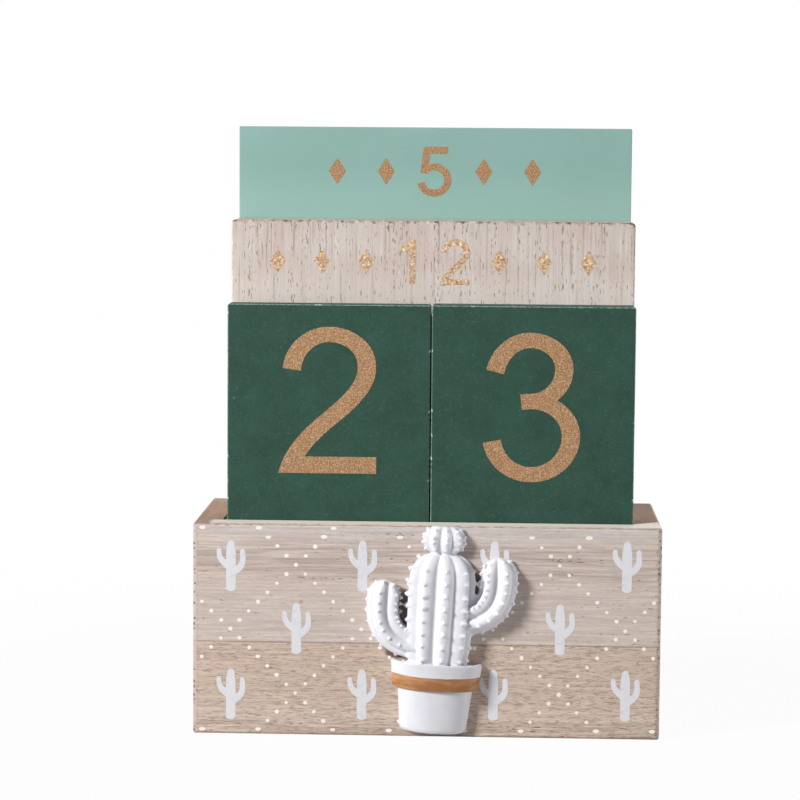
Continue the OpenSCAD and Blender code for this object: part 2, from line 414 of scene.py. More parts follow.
def front_board_finish(low, high):
    material, place = new_material("whitewashed front board")
    x, y, z = xyz(place)
    from_left, from_right = minus(x, low.x), minus(high.x, x)
    behind_face, below_top = minus(y, low.y), minus(high.z, z)
    grain = use_group(grain_effect, place, Run=0.028, Pitch=0.0009, Waviness=0.0016, Porosity=0.45)
    lower_plank = fade(z, JOINT_Z + 0.0001, JOINT_Z - 0.0001)
    off_joint = calc("ABSOLUTE", minus(z, JOINT_Z))
    streaky = times(fade(z, *STREAKS_FROM), fade(z, *STREAKS_TO))
    streaky = calc("MAXIMUM", streaky, fade(z, *STREAKS_FOOT))
    dotted = times(fade(grain["Fibres"], 0.62, 0.95), lower_plank)
    near_edge = fade(calc("MINIMUM", from_left, from_right), 0.0026, 0.0002)
    near_edge = times(near_edge, fade(behind_face, 0.0035, 0.0005, 0.12, 1.0))
    specks = use_group(speck_effect, place, Spacing=0.0011, Share=0.55, Radius=0.45)["Specks"]
    # Painted light: the top face is painted pale, and brown at its left end.
    top = mixed(fade(from_left, 0.0065, 0.0045), PAINTED_LIGHT_PALE, CORNER_BROWN)
    # Painted shade: a darker line along the top's front arris.
    arris = times(fade(below_top, 0.0007, 0.0005), fade(behind_face, 0.0011, 0.0007))
    wear = worn_edges(place, low, high, Reach=0.0004, Raggedness=0.8, Grit=600.0)
    colour = laid(
        WASH_MID,
        (fade(z, *PALE_TOP), WASH_PALE),
        (lower_plank, WASH_TAN),
        # Painted light: paler towards the foot.
        (fade(z, *PAINTED_LIGHT_FOOT, 0.0, 0.7), FOOT_PAINTED_LIGHT),
        (grain["Bands"], 0.4, WASH_TAN),
        (grain["Lines"], 0.5, GRAIN_GREY),
        (grain["Fibres"], 0.3, GRAIN_GREY),
        (grain["Lines"], times(streaky, 0.35), PORE_BROWN),
        (dotted, 0.42, PORE_BROWN),
        (grain["Pores"], plus(0.6, times(streaky, 0.3)), PORE_BROWN),
        (fade(off_joint, 0.0003, 0.0001, 0.0, 0.5), PORE_BROWN),
        # Painted shade in the corners between the cactus, its arms and the pot.
        (bare_corners(place), 0.9, CORNER_SHADE_BROWN),
        # Painted shade: the left upright edge is painted greyer.
        (fade(from_left, 0.0017, 0.0012, 0.0, 0.6), GRAIN_GREY),
        (near_edge, specks, SAW_BROWN),
        (fade(below_top, 0.0004, 0.0001), 0.85, top),
        (arris, fade(grain["Fibres"], 0.2, 0.8, 0.35, 0.75), ARRIS_SHADE_BROWN),
        (wear, 0.5, PORE_BROWN),
    )
    height = minus(times(grain["Lines"], -0.5), grain["Pores"])
    height = minus(height, times(grain["Fibres"], 0.3))
    surface(colour, 0.72, height, bump_mm=0.06)
    return material


dress("front_panel", front_board_finish(*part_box("front_panel")))
print("dressed the front board")

# %% [markdown]
# The other boards of the tray
#
# The ends, the back and the base come from the same pale wood. Their upper edges took
# almost no wash, so they look brown, and no two boards are quite the same brown. On the
# right end's top a pale zone is painted in front of a slanted line along the edge of the
# tiles' shadow: painted light.

# %% Thinly washed wood
BACK_BROWN = rgb(172, 140, 119)
LEFT_BROWN = rgb(147, 110, 82)
RIGHT_BROWN = rgb(174, 122, 94)
STREAK_TAN = rgb(196, 164, 136)
SLANT = 0.7


def tray_board_finish(name, along, bare, low, high):
    """Wash over grain that runs along one axis. bare is the wood of the upper edge."""
    material, place = new_material(name)
    x, y, z = xyz(place)
    vector = turned(place, along)
    grain = use_group(grain_effect, vector, Run=0.024, Pitch=0.0009, Waviness=0.0014, Porosity=0.5)
    bare = laid(bare, (grain["Bands"], 0.4, STREAK_TAN), (grain["Lines"], 0.3, PORE_BROWN))
    # Painted light: the right end's top is painted pale in front of the edge of the tiles' shadow.
    if name.endswith("right end"):
        slanted = minus(y, times(x, SLANT))
        lit_edge = low.y - SLANT * low.x + 0.0012
        bare = laid(bare, (fade(slanted, lit_edge + 0.0002, lit_edge - 0.0002), PAINTED_LIGHT_PALE))
    colour = laid(
        WASH_MID,
        (grain["Bands"], 0.5, WASH_TAN),
        (grain["Lines"], 0.5, GRAIN_GREY),
        (grain["Fibres"], 0.3, GRAIN_GREY),
        (fade(z, high.z - 0.0012, high.z - 0.0002, 0.0, 0.85), bare),
        (grain["Pores"], 0.65, PORE_BROWN),
    )
    height = minus(times(grain["Lines"], -0.5), grain["Pores"])
    surface(colour, 0.75, height, bump_mm=0.06)
    return material


TRAY_BOARDS = {"back_panel": ("X", BACK_BROWN), "left_end": ("Y", LEFT_BROWN),
               "right_end": ("Y", RIGHT_BROWN), "base_board": ("X", BACK_BROWN)}
for name, (along, bare) in TRAY_BOARDS.items():
    dress(name, tray_board_finish("washed " + name.replace("_", " "), along, bare, *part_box(name)))
print("dressed", len(TRAY_BOARDS), "tray boards")

# %% [markdown]
# Number tiles
#
# The tiles are painted dark green on every side. The paint is flat and a little uneven,
# with dust in it, and it's worn pale along the upper arris where fingers lift the tile.

# %% Dark green paint
GREEN = rgb(37, 71, 59)
GREEN_DARK = rgb(32, 63, 51)
GREEN_PALE = rgb(54, 89, 78)
TILE_WORN = rgb(128, 153, 145)
CHIP_PALE = rgb(206, 216, 210)
DUST = rgb(120, 144, 136)


def tile_finish(name, low, high):
    material, place = new_material(name)
    below_top = minus(high.z, xyz(place)[2])
    cloud = noise(place, 110.0, 3.0, 0.6)
    mottle = noise(place, 650.0, 3.0, 0.65)
    tooth = noise(place, 1400.0, 2.0, 0.6)
    specks = use_group(speck_effect, place, Spacing=0.0045, Share=0.12, Radius=0.08)["Specks"]
    smudges = use_group(speck_effect, place, Spacing=0.014, Share=0.3, Radius=0.07)["Specks"]
    wear = worn_edges(place, low, high, Reach=0.00036, Raggedness=0.7)
    side_wear = fade(noise(place, 55.0, 2.0), 0.4, 0.6, 0.4, 1.0)
    knocks = worn_edges(place, low, high, Reach=0.0005, Raggedness=0.9)
    colour = laid(
        GREEN,
        (fade(cloud, 0.3, 0.7), GREEN_DARK),
        (fade(mottle, 0.5, 0.78, 0.0, 0.5), GREEN_PALE),
        (fade(tooth, 0.55, 0.8, 0.0, 0.16), DUST),
        (specks, 0.6, DUST),
        (smudges, 0.3, DUST),
        (wear, fade(below_top, 0.0008, 0.0004, side_wear, 1.0), TILE_WORN),
        (knocks, fade(noise(place, 320.0, 2.0), 0.63, 0.69), CHIP_PALE),
    )
    surface(colour, fade(cloud, 0.3, 0.7, 0.58, 0.68), tooth, bump_mm=0.02, specular=0.3)
    return material


TILES = dress_boards("tile_", tile_finish, "paint")
print("painted", len(TILES), "number tiles")

# %% [markdown]
# Month plates
#
# The grain of these plates stands upright, and the wash lies over it unevenly, so dark
# pores break through in dashes. It is a little greyer just under the top, where handling
# has rubbed the edge down to brown wood, and lower down it is painted lighter: painted light.

# %% Whitewash over upright grain
PLATE_PALE = rgb(226, 217, 211)
PLATE_PINK = rgb(219, 202, 193)
PLATE_PAINTED_LIGHT = rgb(240, 230, 223)
PLATE_GREY = rgb(184, 169, 159)
PLATE_PORE = rgb(126, 103, 89)
RUBBED_BROWN = rgb(178, 152, 135)
RUBBED_DARK = rgb(104, 80, 66)


def month_finish(name, low, high):
    material, place = new_material(name)
    below_top = minus(high.z, xyz(place)[2])
    upright = turned(place, "Z")
    grain = use_group(grain_effect, upright, Run=0.03, Pitch=0.0008, Waviness=0.0006, Porosity=0.7)
    wear = worn_edges(place, low, high, Reach=0.00085, Raggedness=1.6, Grit=420.0)
    patches = noise(place, 500.0, 3.0, 0.7)
    rubbed = laid(RUBBED_BROWN, (fade(patches, 0.52, 0.6), RUBBED_DARK),
                  (fade(patches, 0.43, 0.35), PLATE_PALE))
    colour = laid(
        PLATE_PALE,
        (fade(noise(upright, 45.0, 1.0), 0.4, 0.6), PLATE_PINK),
        (grain["Bands"], 0.35, PLATE_GREY),
        (grain["Lines"], 0.6, PLATE_GREY),
        (grain["Fibres"], 0.3, PLATE_GREY),
        (fade(grain["Lines"], 0.82, 0.98, 0.0, 0.5), PLATE_PORE),
        (fade(below_top, 0.008, 0.002, 0.0, 0.25), PLATE_GREY),
        # Painted light: lighter lower down.
        (fade(below_top, 0.012, 0.027, 0.0, 0.5), PLATE_PAINTED_LIGHT),
        (grain["Pores"], fade(below_top, 0.005, 0.001, 0.66, 1.0), PLATE_PORE),
        (wear, fade(below_top, 0.002, 0.0008, 0.3, 1.0), rubbed),
    )
    height = minus(times(grain["Lines"], -0.3), grain["Pores"])
    surface(colour, 0.72, height, bump_mm=0.06)
    return material


MONTH_PLATES = dress_boards("month_", month_finish, "wash")
print("washed", len(MONTH_PLATES), "month plates")

# %% [markdown]
# Weekday plates
#
# Mint paint, smoother than the green, with only a trace of wear at the corners. Lower
# down it is painted a little paler: painted light.

# %% Mint paint
MINT = rgb(135, 172, 164)
MINT_DEEP = rgb(131, 168, 158)
MINT_PAINTED_LIGHT = rgb(150, 188, 179)
MINT_WORN = rgb(176, 170, 160)


def weekday_finish(name, low, high):
    material, place = new_material(name)
    below_top = minus(high.z, xyz(place)[2])
    specks = use_group(speck_effect, place, Spacing=0.006, Share=0.1, Radius=0.05)["Specks"]
    colour = laid(
        MINT,
        (fade(noise(place, 25.0, 3.0, 0.6), 0.3, 0.7), MINT_DEEP),
        # Painted light: paler lower down.
        (fade(below_top, 0.010, 0.032), MINT_PAINTED_LIGHT),
        (specks, 0.4, MINT_WORN),
        (worn_edges(place, low, high, Reach=0.0002, Raggedness=0.8), 0.55, MINT_WORN),
    )
    surface(colour, 0.58, noise(place, 1400.0, 2.0, 0.6), bump_mm=0.012)
    return material


WEEKDAY_PLATES = dress_boards("weekday_", weekday_finish, "paint")
print("painted", len(WEEKDAY_PLATES), "weekday plates")

# %% [markdown]
# Printing inks
#
# Four inks lie on the boards: bronze on the painted ones, a brighter and more broken gold
# on the bare month plates, a thin cool white for the tray's cacti and a thick warm white
# for its dots.

# %% Bronze, gold and white inks
BRONZE = rgb(170, 131, 93)
BRONZE_DARK = rgb(120, 83, 54)
BRONZE_GLINT = rgb(216, 182, 142)
GOLD = rgb(212, 176, 138)
GOLD_DARK = rgb(150, 106, 74)
GOLD_GLINT = rgb(255, 234, 192)
STAMP_WHITE = rgb(220, 220, 225)
STAMP_THIN = rgb(210, 207, 208)
DOT_WHITE = rgb(246, 238, 231)
DOT_THIN = rgb(238, 228, 218)
METALLIC = 0.25


def metal_ink(name, body, dark, bright, flake, ground=None):
    """Bronze or gold ink. Where a ground is given, it shows through gaps in the ink."""
    material, place = new_material(name)
    grains = use_group(flake_effect, place, Flake=flake)
    # Dark flakes are painted shade, bright ones painted glints.
    colour = laid(body, (grains["Tone"], 0.25, dark), (grains["Dark"], 0.8, dark),
                  (grains["Bright"], 0.85, bright))
    metallic = METALLIC
    if ground:
        upright = calc_vector("MULTIPLY", place, (1.0, 1.0, 0.45))
        gaps = fade(noise(upright, 1500.0, 2.0, 0.6), 0.554, 0.634)
        colour = laid(colour, (gaps, 0.8, ground))
        metallic = minus(METALLIC, times(gaps, METALLIC))
    surface(colour, 0.5, grains["Bright"], bump_mm=0.01, metallic=metallic)
    return material


def white_ink(name, thick, thin):
    material, place = new_material(name)
    patchy = noise(place, 700.0, 3.0, 0.65)
    surface(mixed(fade(patchy, 0.48, 0.78), thick, thin), 0.6, patchy, bump_mm=0.01)
    return material


bronze_ink = metal_ink("bronze ink", BRONZE, BRONZE_DARK, BRONZE_GLINT, flake=0.00042)
gold_ink = metal_ink("gold ink", GOLD, GOLD_DARK, GOLD_GLINT, flake=0.0007, ground=PLATE_GREY)
stamp_ink = white_ink("stamped white ink", STAMP_WHITE, STAMP_THIN)
dot_ink = white_ink("dotted white ink", DOT_WHITE, DOT_THIN)
print("mixed four inks")

# %% [markdown]
# Flat printed shapes
#
# Each printed shape is drawn with strokes, as a sign painter would: a stroke is a centre
# line with a width. The strokes of one shape overlap, so they are merged in the plane
# first and only then raised into a thin film of ink. Constrained Delaunay triangulation
# does the merging: it cuts all the outlines against each other, and the triangles that
# lie in no stroke are left out.

# %% Strokes and films
FILM = 0.04 * MM
ROOT = 0.02 * MM
CURVE_STEPS = 16
DISC_SIDES = 14
SAME_POINT = 1e-6


def arc(centre_x, centre_y, radius_x, radius_y, start, end, steps=20):
    angles = np.radians(np.linspace(start, end, steps + 1))
    return [(centre_x + radius_x * math.cos(a), centre_y + radius_y * math.sin(a)) for a in angles]


def bezier(points, t):
    """Point at t on the curve that four points steer."""
    weights = ((1 - t) ** 3, 3 * t * (1 - t) ** 2, 3 * t * t * (1 - t), t ** 3)
    return sum(w * p for w, p in zip(weights, points))


def curve(*ends):
    ends = [np.array(p) for p in ends]
    return [tuple(bezier(ends, t)) for t in np.linspace(0, 1, CURVE_STEPS + 1)]


def stroke(points, width, contrast=0.0):
    """Quads along a centre line. width is one number, or one for each end. With contrast,
    upright stretches come out wider than level ones."""
    line = [points[0]]
    for p in points[1:]:
        if math.dist(p, line[-1]) > SAME_POINT:
            line.append(p)
    line = np.array(line)
    along = np.gradient(line, axis=0)
    along /= np.linalg.norm(along, axis=1)[:, None]
    side = np.stack([-along[:, 1], along[:, 0]], axis=1)
    first, last = width if isinstance(width, tuple) else (width, width)
    half = np.linspace(first, last, len(line))[:, None] / 2
    half = half * (1 + contrast * (along[:, 1:] ** 2 - along[:, :1] ** 2))
    left, right = line + side * half, line - side * half
    return [[left[i], right[i], right[i + 1], left[i + 1]] for i in range(len(line) - 1)]


def disc(x, y, radius_x, radius_y=None):
    last = 360 * (DISC_SIDES - 1) / DISC_SIDES
    return [[np.array(p) for p in arc(x, y, radius_x, radius_y or radius_x, 0, last, DISC_SIDES - 1)]]


def film(name, polygons, place, face_y, facing, material, body):
    """Merges polygons in the plane and raises them off the face at face_y. facing is -1
    for a front face and 1 for a back one; place turns a point into X and Z in metres."""
    points, faces = [], []
    for polygon in polygons:
        faces.append(list(range(len(points), len(points) + len(polygon))))
        points += [Vector((float(p[0]), float(p[1]))) for p in polygon]
    spots, _, cells, _, _, owners = delaunay_2d_cdt(points, [], faces, 0, SAME_POINT, True)
    bm = bmesh.new()
    verts = [bm.verts.new((x, face_y - facing * ROOT, z)) for x, z in map(place, spots)]
    for cell, owner in zip(cells, owners):
        if owner:
            bm.faces.new([verts[i] for i in cell])
    bmesh.ops.delete(bm, geom=[v for v in bm.verts if not v.link_faces], context="VERTS")
    raised = bmesh.ops.extrude_face_region(bm, geom=bm.faces[:], use_keep_orig=True)["geom"]
    shift = Vector((0, facing * (FILM + ROOT), 0))
    bmesh.ops.translate(bm, verts=[g for g in raised if isinstance(g, bmesh.types.BMVert)], vec=shift)
    bmesh.ops.recalc_face_normals(bm, faces=bm.faces[:])
    mesh = bpy.data.meshes.new(name)
    bm.to_mesh(mesh)
    bm.free()
    mesh.materials.append(material)
    piece = new_object(name, mesh)
    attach(piece, body)


print("film", FILM / MM, "mm thick")

# %% [markdown]
# Digits
#
# The figures are a plain round sans serif with flat ends. Each is drawn once in a box one
# unit high, from arcs and curves, and placed wherever it's needed.

# %% Draw the ten figures
FIGURE_W = 0.66
PEN = 0.114
CONTRAST = 0.09
LEVEL_PEN = PEN * (1 - CONTRAST)
LOW, HIGH, BAR = LEVEL_PEN / 2, 1 - LEVEL_PEN / 2, PEN / 2

two = arc(0.336, 0.68, 0.256, HIGH - 0.68, 174, 90) + arc(0.336, 0.735, 0.256, HIGH - 0.735, 90, 0)
two += curve((0.592, 0.735), (0.598, 0.633), (0.536, 0.55), (0.42, 0.443))
two += curve((0.42, 0.443), (0.33, 0.36), (0.082, 0.191), (0.052, -0.03))
three = arc(0.307, 0.66, 0.243, HIGH - 0.66, 165.5, 90) + arc(0.307, 0.753, 0.232, HIGH - 0.753, 90, 0)
three += arc(0.307, 0.753, 0.232, 0.219, 0, -90) + [(0.25, 0.528)]
bowl = [(0.25, 0.528), (0.3, 0.534)] + arc(0.319, 0.297, 0.271, 0.237, 90, 0)
bowl += arc(0.319, 0.297, 0.271, 0.262, 0, -90) + arc(0.319, 0.297, 0.267, 0.262, -90, -172)
hook = curve((0.068, 0.33), (0.055, 0.74), (0.16, HIGH), (0.35, HIGH))
hook += curve((0.35, HIGH), (0.47, HIGH), (0.55, 0.88), (0.575, 0.76))
six = [arc(0.335, 0.315, 0.267, 0.315 - LOW, 0, 360, 40), hook]
FIGURES = [
    [arc(0.33, 0.5, 0.271, HIGH - 0.5, 0, 360, 48)],
    [[(0.37, 0), (0.37, 1)], curve((0.12, 0.775), (0.24, 0.78), (0.33, 0.84), (0.36, 0.97))],
    [two, [(0.1, BAR), (FIGURE_W, BAR)]],
    [three, bowl],
    [[(0.47, 0), (0.47, 1)], [(0.445, 0.96), (0.06, 0.3)], [(0.0, 0.29), (FIGURE_W, 0.29)]],
    [[(0.12, 1 - BAR), (0.6, 1 - BAR)], [(0.165, 1), (0.105, 0.46)],
     arc(0.315, 0.325, 0.285, 0.325 - LOW, 136, -168, 36)],
    six,
    [[(0.02, 1 - BAR), (0.645, 1 - BAR)], curve((0.6, 0.92), (0.42, 0.68), (0.26, 0.4), (0.22, 0))],
    [arc(0.33, 0.76, 0.225, HIGH - 0.76, 0, 360, 40), arc(0.33, 0.305, 0.271, 0.305 - LOW, 0, 360, 40)],
    [[(FIGURE_W - x, 1 - y) for x, y in line] for line in six],
]


def figure(digit):
    """Quads of one figure. The foot of the 2 is cut level with the base line."""
    quads = []
    for line in FIGURES[digit]:
        quads += stroke(line, PEN, CONTRAST if len(line) > 2 else 0.0)
    if digit == 2:
        quads = [[np.array((x, max(0.0, y))) for x, y in quad] for quad in quads]
    return quads


print("figures drawn in a box", FIGURE_W, "wide and 1 high")

# %% [markdown]
# Printing the tiles
#
# Each tile carries one figure on each side. The printer's register isn't perfect: the two
# tiles in front sit a millimetre or so differently on their boards.

# %% Print both sides of every tile
FIGURE_H = 47.3 * MM
FIGURE_TOP = 7.4 * MM
SHOWS_SECOND = "tile_ones_2_3"
REGISTER = {"tile_tens_2_3": (-0.15 * MM, 0.3 * MM), SHOWS_SECOND: (0.0, -1.0 * MM)}


def print_side(board, facing, what, shapes, height, below_top, ink, slot, middle=0.0, shift_x=0.0):
    """Prints shapes, drawn one unit high, on the front (facing -1) or the back (1) of a
    board. middle is their X that comes to its centre line."""
    low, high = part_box(board)
    centre = (low.x + high.x) / 2 - facing * shift_x

    def place(spot):
        return centre - facing * (spot.x - middle) * height, high.z - below_top + spot.y * height

    side, face_y = ("front", low.y) if facing < 0 else ("back", high.y)
    film(f"{board}_{side}_{what}", shapes, place, face_y, facing, ink, board)


for board in TILES:
    shift_x, shift_z = REGISTER.get(board, (0, 0))
    sides = (1, -1) if board == SHOWS_SECOND else (-1, 1)
    for digit, facing in zip(board.split("_")[2:], sides):
        base = FIGURE_TOP - shift_z + FIGURE_H
        print_side(board, facing, "figure", figure(int(digit)), FIGURE_H, base, bronze_ink,
                   "number_tile_paint", FIGURE_W / 2, shift_x)
print("printed", 2 * len(TILES), "figures")

# %% [markdown]
# Months and weekdays
#
# The plates count months from 1 to 12 and weekdays from 1 to 7 in figures, with a row of
# plain lozenges on either side, so the plate reads the same in every language.

# %% Print the plates
LOZENGE_W, LOZENGE_H = 0.36, 0.56
MONTH_H, MONTH_BASE = 14.4 * MM, 20.4 * MM
WEEKDAY_H, WEEKDAY_BASE = 15.8 * MM, 22.4 * MM
MONTHS = range(12, 0, -1)
WEEKDAYS = (5, 6, 7, 1, 2, 3, 4, 0)
MONTH_ROW = {"pitch": 1.0, "lozenges": 3, "pen": 0.135}
WEEKDAY_ROW = {"pitch": 1.02, "lozenges": 2, "pen": 0.15}


def lozenge(x):
    wide, tall = LOZENGE_W / 2, LOZENGE_H / 2
    return [[np.array(p) for p in ((x - wide, 0.5), (x, 0.5 - tall), (x + wide, 0.5), (x, 0.5 + tall))]]


def number_row(number, pitch, lozenges, pen):
    """The number in figures in the middle, and lozenges at the given pitch beside it."""
    digits = [int(d) for d in str(number)]
    shapes = []
    for i, digit in enumerate(digits):
        offset = (i - (len(digits) - 1) / 2) * pitch
        shift = np.array((offset - FIGURE_W / 2, 0))
        for line in FIGURES[digit]:
            shapes += [[q + shift for q in quad] for quad in stroke(line, pen)]
    first = (len(digits) + 1) / 2 * pitch
    for i in range(lozenges):
        shapes += lozenge(first + i * pitch) + lozenge(-first - i * pitch)
    return shapes


def print_plates(boards, numbers, row, *settings):
    """Prints the numbers in turn, front and back. A 0 leaves the face bare."""
    faces = [(board, facing) for board in boards for facing in (-1, 1)]
    for (board, facing), number in zip(faces, numbers):
        if number:
            print_side(board, facing, "number", number_row(number, **row), *settings)


print_plates(MONTH_PLATES, MONTHS, MONTH_ROW, MONTH_H, MONTH_BASE, gold_ink, "month_plate_wood")
print_plates(WEEKDAY_PLATES, WEEKDAYS, WEEKDAY_ROW, WEEKDAY_H, WEEKDAY_BASE, bronze_ink,
             "weekday_plate_paint")
print("printed", len(MONTH_PLATES), "month plates and", len(WEEKDAY_PLATES), "weekday plates")

# %% [markdown]
# The tray's stamped pattern
#
# White saguaros stand in the fields of a lattice of dots. The dots sit on a square grid
# of 3 mm, on those diagonals that cross every 14 steps. Ink runs a little at the board's
# upper and lower edges, where the dots smear into short dashes.

# %% Stamp saguaros and dots
FIELD_W, FIELD_H = 42.2, 41.7
STEPS, SPAN = 14, range(-40, 41)
LATTICE_X, LATTICE_Z = 0.4, 55.3
DOT_RADIUS, JITTER = 0.62, 0.12
DOTS_HALF, DOTS_LOW, DOTS_HIGH = 73.4, 1.1, 67.3
SMEAR, SMEAR_LOW, SMEAR_HIGH = 1.7, 3, 63
STAMP_SEED = 7
TILT, LEVEL_X = 0.009, -42
ROW_BASES, ROW_LEFT, ROW_RIGHT = (46.7, 26.4, 5.0), -62.7, 70


def saguaro(x, z):
    trunk = stroke([(x, z + 0.7), (x, z + 12.5)], 3.1)
    trunk += stroke([(x, z + 12.5), (x, z + 15.4)], (3.1, 2.3))
    trunk += disc(x, z + 0.9, 1.55, 0.9) + disc(x, z + 15.4, 1.15, 1.1)
    left = curve((x - 3.85, z + 13.2), (x - 3.9, z + 10.8), (x - 3.0, z + 9.7), (x - 0.7, z + 8.1))
    right = curve((x + 3.7, z + 12.9), (x + 4.1, z + 8.6), (x + 3.6, z + 8.0), (x + 0.7, z + 6.3))
    arms = stroke(left, (1.5, 2.3)) + stroke(right, (1.6, 2.5))
    return trunk + arms + disc(x - 3.85, z + 13.2, 0.75) + disc(x + 3.7, z + 12.9, 0.8)


def dots(rng):
    shapes = []
    diagonals = [(m, n) for m in SPAN for n in SPAN if 0 in ((m + n) % STEPS, (m - n) % STEPS)]
    for m, n in diagonals:
        x = LATTICE_X + m * FIELD_W / STEPS + rng.uniform(-JITTER, JITTER)
        z = LATTICE_Z + n * FIELD_H / STEPS + rng.uniform(-JITTER, JITTER)
        radius = DOT_RADIUS * rng.uniform(0.85, 1.12)
        if abs(x) > DOTS_HALF or not DOTS_LOW < z + TILT * (x - LEVEL_X) < DOTS_HIGH:
            continue
        smear = 1.0 if SMEAR_LOW <= z <= SMEAR_HIGH else SMEAR
        wide, tall = smear * rng.uniform(0.95, 1.1), rng.uniform(0.9, 1.05)
        shapes += disc(x, z, radius * wide, radius * tall)
    return shapes


def in_mm(spot):
    return spot.x * MM, (spot.y + TILT * (spot.x - LEVEL_X)) * MM


film("dot_lattice", dots(random.Random(STAMP_SEED)), in_mm, FRONT_Y, -1, dot_ink, "tray")
saguaros = []
for row, base in enumerate(ROW_BASES):
    x = ROW_LEFT + row % 2 * FIELD_W / 2
    while x < ROW_RIGHT:
        saguaros += saguaro(x, base)
        x += FIELD_W
film("saguaro_print", saguaros, in_mm, FRONT_Y, -1, stamp_ink, "tray")
print("stamped the front board")

# %% [markdown]
# The cast cactus
#
# The ornament is poured in one silicone mould, so trunk, bud and arms run into each
# other with soft creases, and rows of blunt thorns stand on the ribs. The forms are
# swept as ribbed half rounds, thorns are added as small cones, and a voxel remesh then
# melts them into one skin, as a casting is.

# %% Forms of the cactus, in millimetres above the pot's foot
FOOT = Vector((2.3 * MM, FRONT_Y, 2.1 * MM))
LEAN = math.radians(3.0)
TRUNK_RELIEF, ARM_RELIEF = 0.66, 0.92
SOIL_Z, RIM_Z, NECK_Z, BUD_TOP = 21.6, 22.7, 57.5, 66.6
TRUNK_W, NECK_W, BUD_W, SHOULDER_H = 21.8, 8.6, 13.9, 9.0
TRUNK_TAPER = (SOIL_Z, 26.9, 33.1, 41.8), (0.43, 0.475, 0.49, 0.5)
TRUNK_RIBS, TRUNK_TURN, ARM_RIBS = 6, 9, 4
ARM_ROOT_X, BUD_TIP = 5.45, 3.1
GROOVE, FULLNESS = 0.16, 2.6
to_row = Matrix.Translation(FOOT) @ Matrix.Rotation(LEAN, 4, "Y") @ Matrix.Scale(MM, 4)


def fullness(angles):
    """Radius of a section between an ellipse and a rectangle, in units of the half width."""
    powers = np.abs(np.cos(angles)) ** FULLNESS + np.abs(np.sin(angles)) ** FULLNESS
    return powers ** (-1 / FULLNESS)


def half_section(ribs, turn, steps=10):
    """Ribs that are turned by a few degrees from the right edge, with grooves between."""
    angles = np.linspace(0, math.pi, steps * (ribs - 1) + 1)
    deep = GROOVE + 1 - math.cos(math.pi / 2 / (ribs - 1))
    humps = np.abs(np.cos((ribs - 1) * (angles - math.radians(turn))))
    radius = fullness(angles) * (1 - deep * (1 - humps))
    return np.stack([radius * np.cos(angles), radius * np.sin(angles)], axis=1)


def trunk_half_width(z):
    """Half width of the trunk and bud at a height."""
    if z > NECK_Z:
        s = 2 * (z - NECK_Z) / (BUD_TOP - NECK_Z) - 1
        return max(0.5 * NECK_W, 0.5 * BUD_W * max(0.0, 1 - s * s) ** 0.3) if s < 0.995 else BUD_TIP
    if z > NECK_Z - SHOULDER_H:
        rise = (z - NECK_Z + SHOULDER_H) / SHOULDER_H
        return 0.5 * NECK_W + 0.5 * (TRUNK_W - NECK_W) * math.sqrt(max(0.0, 1 - rise * rise))
    return TRUNK_W * float(np.interp(z, *TRUNK_TAPER))


def add_skin(bm, rings):
    """A closed skin over rings of equal length, each closed across the flat back."""
    rows = [[bm.verts.new(p) for p in ring] for ring in rings]
    count = len(rows[0])
    around = [(i, (i + 1) % count) for i in range(count)]
    faces = [bm.faces.new((below[i], below[j], above[j], above[i]))
             for below, above in zip(rows, rows[1:]) for i, j in around]
    for ring in (rows[0], rows[-1]):
        centre = bm.verts.new(sum((v.co for v in ring), Vector()) / count)
        faces += [bm.faces.new((ring[i], ring[j], centre)) for i, j in around]
    bmesh.ops.recalc_face_normals(bm, faces=faces)


def trunk_rings():
    section = half_section(TRUNK_RIBS, TRUNK_TURN)
    shoulder = NECK_Z - SHOULDER_H
    rings = []
    for z in [*np.linspace(SOIL_Z, shoulder, 40), *np.linspace(shoulder + 0.3, BUD_TOP, 64)]:
        h = trunk_half_width(z)
        rings.append([Vector((h * across, -h * TRUNK_RELIEF * out, z)) for across, out in section])
    return rings


def arm_curve(side, root_h, reach, rise):
    root = RIM_Z + root_h
    return [np.array(p) for p in (
        (side * ARM_ROOT_X, root + 0.01 * rise), (side * 0.94 * reach, root + 0.03 * rise),
        (side * 1.06 * reach, root + 0.4 * rise), (side * 0.94 * reach, root + rise))]


def arm_frame(points, t):
    """Point at t on the arm's centre line, and the direction there."""
    steps = [b - a for a, b in zip(points, points[1:])]
    along = sum(w * p for w, p in zip(((1 - t) ** 2, 2 * t * (1 - t), t * t), steps))
    return bezier(points, t), along / np.linalg.norm(along)


def off_line(at, along, across, y):
    """Point off the arm's centre line."""
    return Vector((at[0] + across * along[1], y, at[1] - across * along[0]))


def arm_half_width(t, width, rise):
    """The tip closes in a dome; there the curve runs at three times its last leg."""
    dome = width / 2 / (1.8 * rise)
    into = max(0.0, (t - 1 + dome) / dome)
    return width / 2 * min(1, 0.9 + 0.2 * t) * max(0.12, math.sqrt(max(0.0, 1 - into * into)))


def arm_rings(side, turn, width, root_h, reach, rise):
    section = half_section(ARM_RIBS, turn)
    points = arm_curve(side, root_h, reach, rise)
    rings = []
    for t in np.sin(np.linspace(0, math.pi / 2, 60)):
        at, along = arm_frame(points, t)
        h = arm_half_width(t, width, rise)
        rings.append([off_line(at, along, h * across, -h * ARM_RELIEF * out) for across, out in section])
    return rings


# side, turn of the ribs, width, height of the root above the rim, reach and rise
LEFT_ARM = (-1, -15, 11.0, 5.1, 18.4, 20.2)
RIGHT_ARM = (1, 4, 12.0, 14.0, 18.6, 20.7)
print("trunk is", 2 * trunk_half_width(40), "mm wide")


